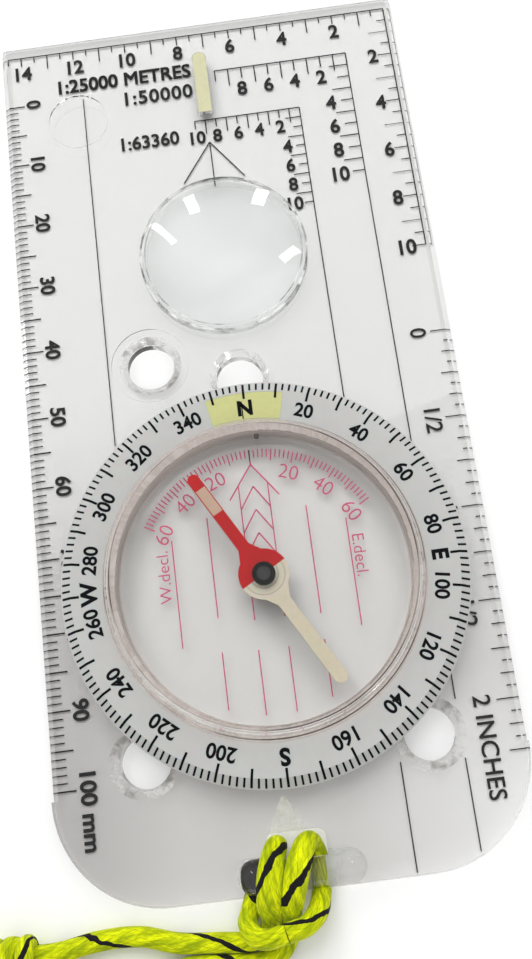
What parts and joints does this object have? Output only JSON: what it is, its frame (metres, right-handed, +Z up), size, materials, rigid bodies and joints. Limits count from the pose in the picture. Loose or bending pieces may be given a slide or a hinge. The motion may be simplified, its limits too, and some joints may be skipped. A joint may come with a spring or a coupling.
{
  "type": "baseplate compass",
  "caption": "Clear ruler-plate compass with a turning degree ring, liquid capsule, pivoted needle, magnifier, marking holes and a knotted, coiled neck lanyard.",
  "frame": {"origin": "centre of the plate's outline, on its underside, which rests on the table", "axes": "+Y along the direction-of-travel arrow, +X to its right, +Z up out of the plate's printed face"},
  "size_m": [0.1003, 0.1688, 0.0078],
  "materials": {
    "clear_acrylic": "polished, see-through, faint grey",
    "lens_acrylic": "polished, see-through",
    "strip_lume": "pale yellow luminous compound",
    "friction_felt": "plain",
    "spring_steel": "plain",
    "milky_plastic": "milky, satin",
    "bezel_lume": "yellow-green luminous compound",
    "capsule_acrylic": "polished, see-through",
    "seal_rubber": "plain",
    "cover_acrylic": "polished, see-through, faint rose",
    "plug_plastic": "plain",
    "pin_steel": "polished point",
    "needle_red": "satin red paint",
    "needle_lume": "peach luminous compound",
    "needle_cream": "translucent cream",
    "magnet_steel": "plain",
    "cup_black": "gloss black",
    "jewel": "polished",
    "cord_fabric": "braided, yellow-green with a black tracer"
  },
  "bodies": {
    "base": {"baseplate": "clear_acrylic", "magnifier_lens": "lens_acrylic", "travel_lume_strip": "strip_lume", "friction_ring": "friction_felt", "lanyard_cord": "cord_fabric", "lanyard_knot": "cord_fabric", "lanyard_coil": "cord_fabric"},
    "housing": {"retaining_ring": "spring_steel", "bezel_ring": "milky_plastic", "bezel_lume_patch": "bezel_lume", "capsule_base": "capsule_acrylic", "capsule_seal": "seal_rubber", "capsule_cover": "cover_acrylic", "filler_plug": "plug_plastic", "pivot_pin": "pin_steel"},
    "needle": {"needle_north": "needle_red", "needle_lume_insert": "needle_lume", "needle_south": "needle_cream", "needle_magnet": "magnet_steel", "jewel_cup": "cup_black", "pivot_jewel": "jewel"}
  },
  "joints": [
    {"name": "housing_turn", "type": "hinge", "parent": "base", "child": "housing", "pos_m": [0, -0.0239, 0], "axis": [0, 0, 1], "continuous": true},
    {"name": "needle_swing", "type": "hinge", "parent": "housing", "child": "needle", "pos_m": [0, -0.0239, 0], "axis": [0, 0, 1], "continuous": true}
  ]
}
